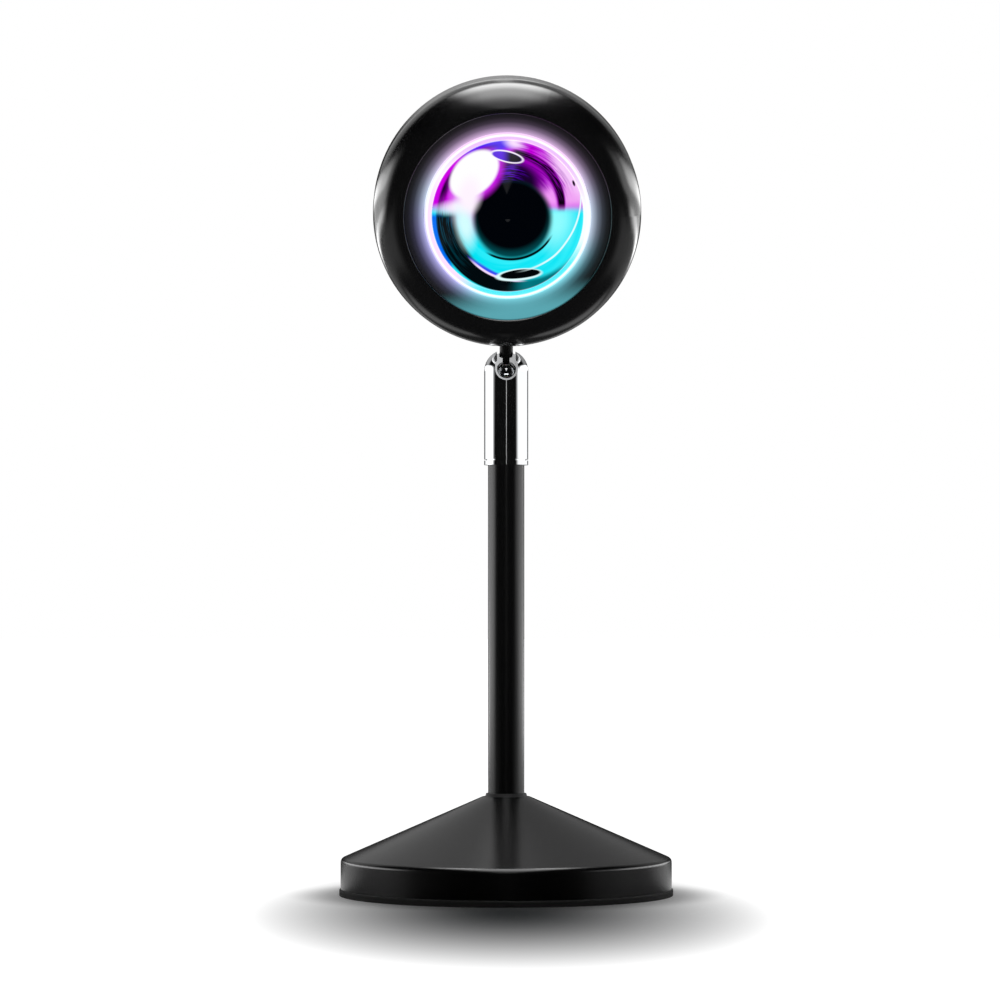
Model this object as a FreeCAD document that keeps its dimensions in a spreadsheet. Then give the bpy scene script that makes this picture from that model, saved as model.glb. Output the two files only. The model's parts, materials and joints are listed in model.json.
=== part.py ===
"""Sunset projection lamp: a round weighted base, a slim stem, a ball joint and a round head.

Millimetres, +Z up. The origin is on the stem's axis at the underside of the base.
The front of the lamp, which the lens faces, is -Y. The head's pieces are drawn in the
head's own frame: Z forward out of the lens, Y up along the neck, X to the right.
"""
import os
import FreeCAD
import Part
import Sketcher

Vector = FreeCAD.Vector

# Driving dimensions: name, value in millimetres (angles in degrees, counts as they are).
DIMENSIONS = [
    ("base_radius", 49.7), ("base_rim_height", 10.9), ("base_wall", 1.6), ("base_rim_round", 1.5),
    ("base_top_radius", 7.2), ("base_top_height", 29.5), ("base_shell_gap", 0.4),
    ("foot_overhang", 0.4), ("foot_thickness", 2.0), ("foot_edge_round", 0.5),
    ("base_bolt_radius", 3.0), ("base_bolt_head_radius", 5.0), ("base_bolt_head_height", 4.5),
    ("base_bolt_engagement", 11.0), ("washer_radius", 8.0), ("washer_thickness", 1.2),
    ("bolt_recess_radius", 9.0), ("bolt_recess_depth", 8.0), ("bolt_hole_clearance", 0.3),
    ("thread_clearance", 0.05), ("fit_clearance", 0.1), ("cut_overrun", 1.0),
    ("stem_radius", 5.45), ("stem_wall", 1.0), ("stem_top_height", 129.0),
    ("stem_insert_length", 15.0), ("stem_collar_width", 0.9), ("stem_collar_height", 1.0),
    ("socket_radius", 6.6), ("socket_ring_height", 1.3), ("socket_groove_height", 0.4),
    ("socket_groove_depth", 0.6), ("socket_stud_radius", 2.5), ("socket_stud_engagement", 9.0),
    ("socket_plug_length", 8.0), ("socket_bore_radius", 4.4),
    ("ball_rise", 28.1), ("ball_radius", 3.1), ("ball_top_drop", 0.25),
    ("ball_running_clearance", 0.06), ("ball_seat_drop", 2.2), ("ball_seat_thickness", 3.0),
    ("slot_half_width", 2.8), ("slot_bottom_drop", 2.3), ("slot_step_width", 0.6),
    ("slot_step_depth", 5.2), ("seat_spring_wire", 0.8), ("seat_spring_turns", 4),
    ("waist_radius", 1.0), ("waist_length", 1.7), ("waist_flare", 0.25), ("stud_radius", 2.0),
    ("stud_thread_radius", 1.5), ("stud_root_depth", 2.4), ("stud_shoulder_gap", 0.2),
    ("swivel_gap", 0.05), ("swivel_bush_wall", 1.0), ("swivel_bush_stand", 0.15),
    ("swivel_bush_flange_radius", 4.0), ("swivel_bush_flange_thickness", 1.0),
    ("stud_washer_radius", 3.6), ("stud_washer_thickness", 0.6), ("stud_nut_flats", 5.5),
    ("stud_nut_height", 2.6), ("stud_thread_spare", 1.0),
    ("rest_tilt", 13.0), ("neck_length", 8.76),
    ("head_radius", 39.75), ("head_wall", 2.0), ("head_land_front", 6.0), ("head_land_back", 3.0),
    ("head_front_depth", 15.5), ("head_back_depth", 20.0), ("head_back_inset", 11.0),
    ("head_back_bevel", 0.5), ("head_back_bevel_width", 0.75), ("head_back_inner_inset", 0.6),
    ("head_shoulder_inset", 5.8), ("head_shoulder_depth", 12.5), ("housing_boss_radius", 4.4),
    ("housing_boss_depth", 6.5), ("spigot_length", 1.3), ("spigot_wall", 1.5),
    ("bezel_width", 9.3), ("bezel_lip_round", 0.45), ("bezel_shelf_depth", 3.3),
    ("bezel_shelf_thickness", 1.2), ("bezel_shelf_width", 2.4), ("bezel_inner_depth", 7.0),
    ("ring_step", 1.3), ("ring_fall", 1.6), ("ring_skirt_wall", 1.6),
    ("inner_ring_width", 5.85), ("edge_ring_wall", 2.1), ("edge_ring_stand", 0.5),
    ("edge_ring_round", 0.9), ("edge_ring_lip", 2.1), ("edge_ring_lip_thickness", 0.8),
    ("gasket_thickness", 0.4), ("lens_rim_drop", 0.4), ("lens_crown", 6.6),
    ("carrier_front", 8.0), ("carrier_thickness", 1.6), ("carrier_inset", 6.4),
    ("carrier_screw_inset", 8.8), ("carrier_boss_radius", 2.1), ("carrier_screw_radius", 1.0),
    ("carrier_screw_head_radius", 1.9), ("carrier_screw_head_height", 1.2),
    ("filter_inset", 3.2), ("filter_thickness", 1.0), ("filter_lip", 1.6),
    ("reflector_mouth_inset", 2.2), ("reflector_throat_radius", 6.6), ("reflector_sheet", 0.8),
    ("reflector_sheet_radial", 1.0), ("reflector_depth", 14.8), ("led_board_share", 0.377),
    ("led_board_thickness", 1.6), ("led_chip_size", 3.0), ("led_chip_height", 0.7),
    ("led_chip_pitch", 4.0), ("led_chip_count", 4), ("led_screw_share", 0.302),
    ("small_screw_radius", 1.0), ("small_screw_head_radius", 1.9),
    ("small_screw_head_height", 1.3), ("screw_slot_length_share", 0.7),
    ("screw_slot_width_share", 0.25), ("screw_end_gap", 0.4), ("screw_count", 3),
    ("sink_share", 0.516), ("sink_plate", 2.5), ("sink_screw_share", 0.443),
    ("sink_post_radius", 2.3), ("sink_fin_thickness", 1.2), ("sink_fin_pitch", 3.2),
    ("sink_fin_half_length", 8.0), ("sink_fin_height", 3.6), ("sink_fin_count", 7),
    ("grille_thickness", 1.2), ("grille_ledge", 4.6), ("grille_screw_inset", 2.3),
    ("grille_boss_radius", 2.1), ("grille_boss_height", 1.8), ("grille_slot_inner", 4.5),
    ("grille_slot_inset", 5.4), ("grille_slot_width", 1.5), ("grille_slot_count", 16),
    ("board_half_width", 13.0), ("board_height", 9.8), ("board_top_inset", 2.8),
    ("board_thickness", 1.2), ("board_back", 8.0), ("board_post_x", 9.0),
    ("board_post_inset", 6.4), ("board_post_radius", 1.5), ("coil_radius", 3.4),
    ("coil_height", 4.0), ("coil_x", 7.0), ("capacitor_radius", 2.5),
    ("capacitor_height", 6.0), ("board_parts_inset", 4.4), ("chip_half_width", 2.4),
    ("chip_height", 1.2),
    ("inlet_inset", 5.4), ("inlet_grille_gap", 5.6), ("inlet_width", 8.94),
    ("inlet_height", 3.26), ("inlet_sheet", 0.3), ("inlet_length", 7.3),
    ("inlet_set_back", 0.2), ("inlet_tongue_width", 6.7), ("inlet_tongue_thickness", 0.7),
    ("inlet_tongue_length", 6.3), ("inlet_board_width", 14.0), ("inlet_board_length", 9.6),
    ("inlet_board_thickness", 1.0),
    ("wire_radius", 0.6), ("wire_corner_share", 0.45), ("wire_pitch", 1.7),
    ("wire_pad_inset", 2.25), ("wire_turn", 4.0), ("wire_step", 1.0), ("wire_side_gap", 4.9),
    ("wire_pass_x_share", 0.8), ("wire_pass_y_share", 0.68),
]


class Size:
    """A length with its value and its formula in the sheet, so plain arithmetic stays bound."""

    def __init__(self, value, formula):
        self.value = value
        self.formula = formula

    def joined(self, other, sign, value):
        return Size(value, f"({self.formula} {sign} {as_size(other).formula})")

    def __add__(self, other):
        return self.joined(other, "+", self.value + as_size(other).value)

    def __sub__(self, other):
        return self.joined(other, "-", self.value - as_size(other).value)

    def __mul__(self, other):
        return self.joined(other, "*", self.value * as_size(other).value)

    def __truediv__(self, other):
        return self.joined(other, "/", self.value / as_size(other).value)

    def __neg__(self):
        return Size(-self.value, f"(0 - {self.formula})")

    def root(self):
        return Size(self.value ** 0.5, f"sqrt({self.formula})")


def as_size(number):
    return number if isinstance(number, Size) else Size(float(number), repr(float(number)))


ZERO = as_size(0)
doc = FreeCAD.newDocument("SunsetLamp")
sheet = doc.addObject("Spreadsheet::Sheet", "Sizes")


class Dimensions:
    """Each driving dimension by name, as a Size bound to its cell."""


dim = Dimensions()
for row, (name, value) in enumerate(DIMENSIONS, start=1):
    sheet.set(f"A{row}", name)
    sheet.set(f"B{row}", str(value))
    sheet.setAlias(f"B{row}", name)
    setattr(dim, name, Size(float(value), f"Sizes.{name}"))
doc.recompute()

# Sizes that follow from the others.
ball_height = dim.stem_top_height + dim.ball_rise
neck_reach = dim.head_radius + dim.neck_length
head_back_radius = dim.head_radius - dim.head_back_inset
head_shoulder_radius = dim.head_radius - dim.head_shoulder_inset
bezel_bore_radius = dim.head_radius - dim.bezel_width
edge_ring_radius = bezel_bore_radius - dim.inner_ring_width
carrier_radius = dim.head_radius - dim.carrier_inset
carrier_screw_circle = dim.head_radius - dim.carrier_screw_inset
filter_radius = edge_ring_radius - dim.filter_inset
reflector_mouth_radius = filter_radius - dim.reflector_mouth_inset
led_board_radius = dim.head_radius * dim.led_board_share
led_screw_circle = dim.head_radius * dim.led_screw_share
sink_radius = dim.head_radius * dim.sink_share
sink_screw_circle = dim.head_radius * dim.sink_screw_share
inlet_y = head_back_radius - dim.inlet_inset
grille_radius = inlet_y - dim.inlet_grille_gap
grille_screw_circle = grille_radius - dim.grille_screw_inset
board_top = head_shoulder_radius - dim.board_top_inset
board_bottom = board_top - dim.board_height

# The neck's frame is at the ball's centre and leans with the head. The head's frame is on
# the neck's axis at the head's centre, turned so that its Z looks forward.
neck_frame = doc.addObject("App::Placement", "NeckFrame")
neck_frame.setExpression(
    "Placement",
    f"placement(vector(0; 0; {ball_height.formula});"
    " rotation(vector(1; 0; 0); Sizes.rest_tilt))")
head_frame = doc.addObject("App::Placement", "HeadFrame")
head_frame.setExpression(
    "Placement",
    f"placement(vector(0; 0 - {neck_reach.formula} * sin(Sizes.rest_tilt * 1 deg);"
    f" {ball_height.formula} + {neck_reach.formula} * cos(Sizes.rest_tilt * 1 deg));"
    " rotation(vector(1; 0; 0); 90 + Sizes.rest_tilt))")
doc.recompute()

pieces = []


def new_body(label, frame=None):
    """An empty body under its node's name, standing in the given frame."""
    body = doc.addObject("PartDesign::Body", label)
    body.Label = label
    body.AllowCompound = True
    if frame is not None:
        body.setExpression("Placement", f"{frame.Name}.Placement")
    pieces.append(body)
    return body


def origin_feature(body, role):
    return next(item for item in body.Origin.OriginFeatures if item.Role == role)


def new_sketch(body, plane, level):
    """A sketch on one of the body's own planes, moved along its normal to a level."""
    sketch = body.newObject("Sketcher::SketchObject", f"{body.Name}_sketch")
    sketch.AttachmentSupport = [(origin_feature(body, plane), "")]
    sketch.MapMode = "FlatFace"
    sketch.setExpression("AttachmentOffset.Base.z", as_size(level).formula)
    return sketch


def place_point(sketch, geometry, point, spot):
    """Bind one point of the sketch to its two sizes, or to an axis where a size is zero."""
    for kind, axis, size in (("DistanceX", -2, spot[0]), ("DistanceY", -1, spot[1])):
        if size is ZERO:
            sketch.addConstraint(Sketcher.Constraint("PointOnObject", geometry, point, axis))
        else:
            index = sketch.addConstraint(
                Sketcher.Constraint(kind, -1, 1, geometry, point, size.value))
            sketch.setExpression(f"Constraints[{index}]", size.formula)


def arc_between(start, end, centre_level):
    """The short arc between two points, its centre on the axis or at the given level."""
    x1, y1 = start[0].value, start[1].value
    x2, y2 = end[0].value, end[1].value
    if centre_level is None:
        cx = 0.0
        cy = (x1 * x1 + y1 * y1 - x2 * x2 - y2 * y2) / (2 * (y1 - y2))
    else:
        cy = centre_level.value
        cx = (x1 * x1 + (y1 - cy) ** 2 - x2 * x2 - (y2 - cy) ** 2) / (2 * (x1 - x2))
    centre = Vector(cx, cy, 0)
    first = Vector(x1, y1, 0)
    last = Vector(x2, y2, 0)
    turn = (first - centre).cross(last - centre).z
    if turn < 0:
        first, last = last, first
    circle = Part.Circle(centre, Vector(0, 0, 1), (first - centre).Length)
    arc = Part.ArcOfCircle(circle, circle.parameter(first), circle.parameter(last))
    return arc, (1, 2) if turn > 0 else (2, 1)


def draw(sketch, outline):
    """A closed outline. A corner is (x, y), or (x, y, rule) where an arc leaves it: the rule
    is "axis" for a centre on the vertical axis, or the level that the centre lies at."""
    corners = [(as_size(c[0]) if c[0] != 0 else ZERO, as_size(c[1]) if c[1] != 0 else ZERO,
                c[2] if len(c) > 2 else None) for c in outline]
    edges = []
    for index, corner in enumerate(corners):
        following = corners[(index + 1) % len(corners)]
        if corner[2] is None:
            line = Part.LineSegment(Vector(corner[0].value, corner[1].value, 0),
                                    Vector(following[0].value, following[1].value, 0))
            edges.append((sketch.addGeometry(line, False), 1, 2))
        else:
            level = None if corner[2] == "axis" else as_size(corner[2])
            arc, ends = arc_between(corner, following, level)
            edges.append((sketch.addGeometry(arc, False), ends[0], ends[1]))
    for index, (geometry, begin, finish) in enumerate(edges):
        after = edges[(index + 1) % len(edges)]
        sketch.addConstraint(
            Sketcher.Constraint("Coincident", geometry, finish, after[0], after[1]))
    for (geometry, begin, finish), corner in zip(edges, corners):
        place_point(sketch, geometry, begin, corner)
        if corner[2] is not None and corner[2] == "axis":
            sketch.addConstraint(Sketcher.Constraint("PointOnObject", geometry, 3, -2))
        elif corner[2] is not None:
            level = as_size(corner[2])
            index = sketch.addConstraint(
                Sketcher.Constraint("DistanceY", -1, 1, geometry, 3, level.value))
            sketch.setExpression(f"Constraints[{index}]", level.formula)


def draw_circle(sketch, x, y, radius):
    spot = (as_size(x) if x != 0 else ZERO, as_size(y) if y != 0 else ZERO)
    circle = Part.Circle(Vector(spot[0].value, spot[1].value, 0), Vector(0, 0, 1),
                         as_size(radius).value)
    geometry = sketch.addGeometry(circle, False)
    place_point(sketch, geometry, 3, spot)
    index = sketch.addConstraint(Sketcher.Constraint("Radius", geometry, as_size(radius).value))
    sketch.setExpression(f"Constraints[{index}]", as_size(radius).formula)


def box_outline(x, y, half_width, half_height):
    """The four corners of a rectangle about (x, y)."""
    x, y = as_size(x), as_size(y)
    half_width, half_height = as_size(half_width), as_size(half_height)
    return [(x - half_width, y - half_height), (x + half_width, y - half_height),
            (x + half_width, y + half_height), (x - half_width, y + half_height)]


def slot_outline(half_width, bottom_centre, top):
    """A U: straight sides up to the top and a half round bottom, in two quarter arcs."""
    bottom = bottom_centre - half_width
    return [(-half_width, top), (-half_width, bottom_centre, bottom_centre),
            (ZERO, bottom, bottom_centre), (half_width, bottom_centre), (half_width, top)]


def turned(label, outline, frame=None, plane="XZ_Plane"):
    """A body turned about the vertical axis of its sketch."""
    body = new_body(label, frame)
    sketch = new_sketch(body, plane, 0)
    draw(sketch, outline)
    feature = body.newObject("PartDesign::Revolution", f"{label}_turn")
    feature.Profile = sketch
    feature.ReferenceAxis = (sketch, ["V_Axis"])
    feature.Angle = 360
    doc.recompute()
    return body


def pad(body, level, height, outline=None, circle=None, plane="XY_Plane"):
    """Material raised from a level, along the plane's normal."""
    sketch = new_sketch(body, plane, level)
    if outline is not None:
        draw(sketch, outline)
    if circle is not None:
        draw_circle(sketch, *circle)
    feature = body.newObject("PartDesign::Pad", f"{body.Name}_pad")
    feature.Profile = sketch
    feature.setExpression("Length", as_size(height).formula)
    doc.recompute()
    return feature


def cut(body, level, depth, outline=None, circle=None, plane="XY_Plane"):
    """Material taken out from a level, against the plane's normal."""
    before = body.Shape.Volume
    sketch = new_sketch(body, plane, level)
    if outline is not None:
        draw(sketch, outline)
    if circle is not None:
        draw_circle(sketch, *circle)
    feature = body.newObject("PartDesign::Pocket", f"{body.Name}_cut")
    feature.Profile = sketch
    feature.setExpression("Length", as_size(depth).formula)
    doc.recompute()
    if body.Shape.Volume >= before:
        raise RuntimeError(f"a cut in {body.Label} took nothing away")
    return feature


def around(body, features, count, axis="Z_Axis"):
    """Repeat features evenly about one of the body's axes."""
    pattern = body.newObject("PartDesign::PolarPattern", f"{body.Name}_ring")
    pattern.Originals = features
    pattern.Axis = (origin_feature(body, axis), [""])
    pattern.Angle = 360
    pattern.setExpression("Occurrences", as_size(count).formula)
    body.Tip = pattern
    doc.recompute()
    return pattern


def rounded(body, radius, places):
    """Round the circular edges that lie at the given (radius, level) places."""
    names = []
    base = body.Tip
    for index, edge in enumerate(base.Shape.Edges, start=1):
        if not isinstance(edge.Curve, Part.Circle):
            continue
        spot = (edge.Curve.Radius, edge.Curve.Center.z)
        for place in places:
            if abs(spot[0] - place[0].value) < 0.01 and abs(spot[1] - place[1].value) < 0.01:
                names.append(f"Edge{index}")
    if not names:
        raise RuntimeError(f"no edge of {body.Label} to round")
    feature = body.newObject("PartDesign::Fillet", f"{body.Name}_round")
    feature.Base = (base, names)
    feature.setExpression("Radius", radius.formula)
    doc.recompute()
    return feature


# ---------------------------------------------------------------- base

def make_foot_pad():
    radius = dim.base_radius + dim.foot_overhang
    body = turned("foot_pad", [(ZERO, ZERO), (radius, ZERO), (radius, dim.foot_thickness),
                               (ZERO, dim.foot_thickness)])
    rounded(body, dim.foot_edge_round, [(radius, dim.foot_thickness)])


def make_base_shell():
    """A spun cone over a short rim, open below, with a flat on top for the stem."""
    inner = dim.base_radius - dim.base_wall
    top = dim.base_top_height
    hole = dim.base_bolt_radius + dim.bolt_hole_clearance
    body = turned("base_shell", [
        (dim.base_radius, dim.foot_thickness), (dim.base_radius, dim.base_rim_height),
        (dim.base_top_radius, top), (hole, top), (hole, top - dim.base_wall),
        (dim.base_top_radius - dim.base_wall / 2, top - dim.base_wall),
        (inner, dim.base_rim_height - dim.base_wall), (inner, dim.foot_thickness)])
    rounded(body, dim.base_rim_round, [(dim.base_radius, dim.base_rim_height)])


def make_base_weight():
    """A cast disc that fills the shell, recessed below for the bolt's head."""
    gap = dim.base_shell_gap
    inner = dim.base_radius - dim.base_wall - gap
    top = dim.base_top_height - dim.base_wall
    recess_top = dim.foot_thickness + dim.bolt_recess_depth
    hole = dim.base_bolt_radius + dim.bolt_hole_clearance
    turned("base_weight", [
        (dim.bolt_recess_radius, dim.foot_thickness), (inner, dim.foot_thickness),
        (inner, dim.base_rim_height - dim.base_wall - gap),
        (dim.base_top_radius - dim.base_wall / 2 - gap, top), (hole, top), (hole, recess_top),
        (dim.bolt_recess_radius, recess_top)])


def make_base_fixing():
    """The washer and the bolt that clamp the weight and the shell to the stem."""
    recess_top = dim.foot_thickness + dim.bolt_recess_depth
    washer_bottom = recess_top - dim.washer_thickness
    hole = dim.base_bolt_radius + dim.bolt_hole_clearance
    turned("base_washer", [(hole, washer_bottom), (dim.washer_radius, washer_bottom),
                           (dim.washer_radius, recess_top), (hole, recess_top)])
    bolt_top = dim.base_top_height + dim.base_bolt_engagement
    head_bottom = washer_bottom - dim.base_bolt_head_height
    bolt = turned("base_bolt", [
        (ZERO, head_bottom), (dim.base_bolt_head_radius, head_bottom),
        (dim.base_bolt_head_radius, washer_bottom), (dim.base_bolt_radius, washer_bottom),
        (dim.base_bolt_radius, bolt_top), (ZERO, bolt_top)])
    key = dim.base_bolt_head_radius / 2
    cut(bolt, head_bottom + dim.base_bolt_head_height / 2, dim.base_bolt_head_height,
        outline=[(key, 0), (key / 2, key), (-key / 2, key), (-key, 0), (-key / 2, -key),
                 (key / 2, -key)])


# ---------------------------------------------------------------- stem

def make_stem():
    foot = dim.base_top_height
    top = dim.stem_top_height
    bore = dim.stem_radius - dim.stem_wall
    turned("stem_tube", [(bore, foot), (dim.stem_radius, foot), (dim.stem_radius, top),
                         (bore, top)])
    inside = dim.stem_radius + dim.fit_clearance
    outside = dim.stem_radius + dim.stem_collar_width
    turned("stem_collar", [(inside, foot), (outside, foot),
                           (outside - dim.stem_collar_width / 3, foot + dim.stem_collar_height),
                           (inside, foot + dim.stem_collar_height)])
    plug = bore - dim.thread_clearance
    low_bore = dim.base_bolt_radius + dim.thread_clearance
    turned("stem_lower_insert", [(low_bore, foot), (plug, foot),
                                 (plug, foot + dim.stem_insert_length),
                                 (low_bore, foot + dim.stem_insert_length)])
    high_bore = dim.socket_stud_radius + dim.thread_clearance
    turned("stem_upper_insert", [(high_bore, top - dim.stem_insert_length),
                                 (plug, top - dim.stem_insert_length), (plug, top),
                                 (high_bore, top)])


# ---------------------------------------------------------------- ball socket

def make_socket():
    """The chrome ring, the plug and the domed, slotted tube that holds the ball."""
    ring_bottom = dim.stem_top_height
    ring_top = ring_bottom + dim.socket_ring_height
    tube_bottom = ring_top + dim.socket_groove_height
    stud_hole = dim.socket_stud_radius + dim.thread_clearance
    turned("socket_collar", [(stud_hole, ring_bottom), (dim.socket_radius, ring_bottom),
                             (dim.socket_radius, ring_top), (stud_hole, ring_top)])
    bore = dim.socket_bore_radius
    plug_top = tube_bottom + dim.socket_plug_length
    neck = dim.socket_radius - dim.socket_groove_depth
    plug = bore - dim.thread_clearance
    turned("socket_plug", [(stud_hole, ring_top), (neck, ring_top), (neck, tube_bottom),
                           (plug, tube_bottom), (plug, plug_top), (stud_hole, plug_top)])
    turned("socket_stud", [
        (ZERO, ring_bottom - dim.socket_stud_engagement),
        (dim.socket_stud_radius, ring_bottom - dim.socket_stud_engagement),
        (dim.socket_stud_radius, plug_top), (ZERO, plug_top)])
    centre = ball_height
    cavity = dim.ball_radius + dim.ball_running_clearance
    seat_top = centre - dim.ball_seat_drop
    tube = turned("socket_tube", [
        (bore, tube_bottom), (dim.socket_radius, tube_bottom), (dim.socket_radius, centre, "axis"),
        (ZERO, centre + dim.socket_radius), (ZERO, centre + cavity, "axis"), (cavity, centre),
        (cavity, seat_top), (bore, seat_top)])
    slot_centre = centre - dim.slot_bottom_drop + dim.slot_half_width
    above = centre + dim.socket_radius + dim.cut_overrun
    front = dim.socket_radius + dim.cut_overrun
    # The slot runs from the front over the dome to the far side of the neck.
    cut(tube, front, front + dim.slot_half_width,
        outline=slot_outline(dim.slot_half_width, slot_centre, above), plane="XZ_Plane")
    step = dim.slot_half_width + dim.slot_step_width
    cut(tube, front, front - dim.slot_step_depth,
        outline=slot_outline(step, slot_centre, above), plane="XZ_Plane")
    seat_bottom = seat_top - dim.ball_seat_thickness
    seat_hole = dim.ball_radius / 2
    turned("ball_seat", [
        (seat_hole, seat_bottom), (bore - dim.fit_clearance, seat_bottom),
        (bore - dim.fit_clearance, seat_top), (dim.ball_radius - dim.fit_clearance, seat_top),
        (seat_hole, seat_top - dim.ball_seat_thickness / 3)])


def make_seat_spring():
    """A stack of dished spring washers between the plug and the ball's seat."""
    plug_top = (dim.stem_top_height + dim.socket_ring_height + dim.socket_groove_height
                + dim.socket_plug_length)
    seat_bottom = ball_height - dim.ball_seat_drop - dim.ball_seat_thickness
    step = (seat_bottom - plug_top) / dim.seat_spring_turns
    outside = dim.socket_bore_radius - dim.fit_clearance * 2
    inside = outside - dim.seat_spring_wire * 2
    rise = step / 2
    sheet_height = step - rise
    body = turned("seat_spring", [(inside, plug_top + rise), (outside, plug_top),
                                  (outside, plug_top + sheet_height),
                                  (inside, plug_top + step)])
    pattern = body.newObject("PartDesign::LinearPattern", "seat_spring_stack")
    pattern.Originals = [body.Tip]
    pattern.Direction = (origin_feature(body, "Z_Axis"), [""])
    pattern.Mode = "Spacing"
    pattern.setExpression("Offset", step.formula)
    pattern.setExpression("Occurrences", dim.seat_spring_turns.formula)
    body.Tip = pattern
    doc.recompute()


# ---------------------------------------------------------------- ball and neck

def make_neck():
    """The ball with its stud, and the nut that holds the head on the stud."""
    root = dim.ball_radius - dim.stud_root_depth
    flat = dim.ball_radius - dim.ball_top_drop
    flat_radius = (dim.ball_radius * dim.ball_radius - flat * flat).root()
    turned("ball", [
        (ZERO, -dim.ball_radius, "axis"), (dim.ball_radius, ZERO, "axis"), (flat_radius, flat),
        (dim.waist_radius, flat), (dim.waist_radius, root), (ZERO, root)], neck_frame)
    shoulder = dim.neck_length - dim.stud_shoulder_gap
    bush_top = dim.neck_length + dim.housing_boss_depth
    washer_bottom = bush_top + dim.swivel_bush_flange_thickness + dim.swivel_gap
    washer_top = washer_bottom + dim.stud_washer_thickness
    nut_top = washer_top + dim.stud_nut_height
    end = nut_top + dim.stud_thread_spare
    waist_top = dim.ball_radius + dim.waist_length
    turned("neck_stud", [
        (ZERO, root), (dim.waist_radius, root), (dim.waist_radius, waist_top),
        (dim.stud_radius, waist_top + dim.waist_flare), (dim.stud_radius, shoulder),
        (dim.stud_thread_radius, shoulder), (dim.stud_thread_radius, end), (ZERO, end)],
        neck_frame)
    bore = dim.stud_thread_radius + dim.thread_clearance
    turned("stud_washer", [(bore, washer_bottom), (dim.stud_washer_radius, washer_bottom),
                           (dim.stud_washer_radius, washer_top), (bore, washer_top)], neck_frame)
    nut = new_body("stud_nut", neck_frame)
    half = dim.stud_nut_flats / 2
    corner = dim.stud_nut_flats / as_size(3).root()
    pad(nut, washer_top, dim.stud_nut_height,
        outline=[(corner, 0), (corner / 2, half), (-corner / 2, half), (-corner, 0),
                 (-corner / 2, -half), (corner / 2, -half)])
    cut(nut, nut_top, dim.stud_nut_height, circle=(0, 0, bore))


# ---------------------------------------------------------------- head casing

def make_rear_housing():
    """A cast bowl: a short straight land, a rounded back and a flat with a vent recess."""
    outside = dim.head_radius
    inside = outside - dim.head_wall
    front = dim.head_land_front
    back = -dim.head_land_back
    rear = -dim.head_back_depth
    inner_rear = rear + dim.head_wall
    shelf = rear + dim.grille_thickness
    opening = grille_radius - dim.grille_ledge
    body = turned("rear_housing", [
        (inside, front), (outside, front), (outside, back, back),
        (head_back_radius + dim.head_back_bevel_width, rear + dim.head_back_bevel),
        (head_back_radius, rear), (grille_radius, rear), (grille_radius, shelf),
        (opening, shelf), (opening, inner_rear),
        (head_back_radius - dim.head_back_inner_inset, inner_rear),
        (head_shoulder_radius, -dim.head_shoulder_depth), (inside, back)], head_frame)
    # Boss that carries the neck, at the bottom of the head.
    boss_end = outside - dim.housing_boss_depth
    pad(body, boss_end, dim.housing_boss_depth - dim.head_wall / 2,
        circle=(0, 0, dim.housing_boss_radius), plane="XZ_Plane")
    hole = dim.stud_thread_radius + dim.swivel_bush_wall + dim.fit_clearance
    cut(body, outside + dim.cut_overrun, dim.housing_boss_depth + dim.cut_overrun * 2,
        circle=(0, 0, hole), plane="XZ_Plane")
    # Posts for the heat sink, bosses for the grille's screws.
    post_height = dim.head_back_depth - dim.head_wall - sink_back_depth()
    post = pad(body, inner_rear, post_height,
               circle=(0, sink_screw_circle, dim.sink_post_radius))
    post_hole = cut(body, inner_rear + post_height, post_height,
                    circle=(0, sink_screw_circle, dim.small_screw_radius))
    around(body, [post, post_hole], dim.screw_count)
    boss = pad(body, inner_rear, dim.grille_boss_height,
               circle=(0, -grille_screw_circle, dim.grille_boss_radius))
    boss_hole = cut(body, inner_rear + dim.grille_boss_height / 2,
                    dim.grille_boss_height / 2 + dim.head_wall,
                    circle=(0, -grille_screw_circle, dim.small_screw_radius))
    around(body, [boss, boss_hole], dim.screw_count)
    cut(body, inner_rear + dim.head_wall, dim.head_wall * 3,
        outline=box_outline(0, -inlet_y, dim.inlet_width / 2 + dim.fit_clearance,
                            dim.inlet_height / 2 + dim.fit_clearance))


def sink_back_depth():
    """How far behind the neck's plane the back of the heat sink's plate lies."""
    return (dim.reflector_depth - dim.carrier_front + dim.carrier_thickness
            + dim.led_board_thickness + dim.sink_plate)


def make_swivel_bush():
    """The bush that turns on the stud. It is turned about the neck's axis, Y."""
    bore = dim.stud_thread_radius + dim.swivel_gap
    outside = dim.stud_thread_radius + dim.swivel_bush_wall
    bottom = -dim.head_radius - dim.swivel_bush_stand
    top = -dim.head_radius + dim.housing_boss_depth
    flange_top = top + dim.swivel_bush_flange_thickness
    turned("swivel_bush", [
        (bore, bottom), (outside, bottom), (outside, top), (dim.swivel_bush_flange_radius, top),
        (dim.swivel_bush_flange_radius, flange_top), (bore, flange_top)],
        head_frame, plane="XY_Plane")


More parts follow.
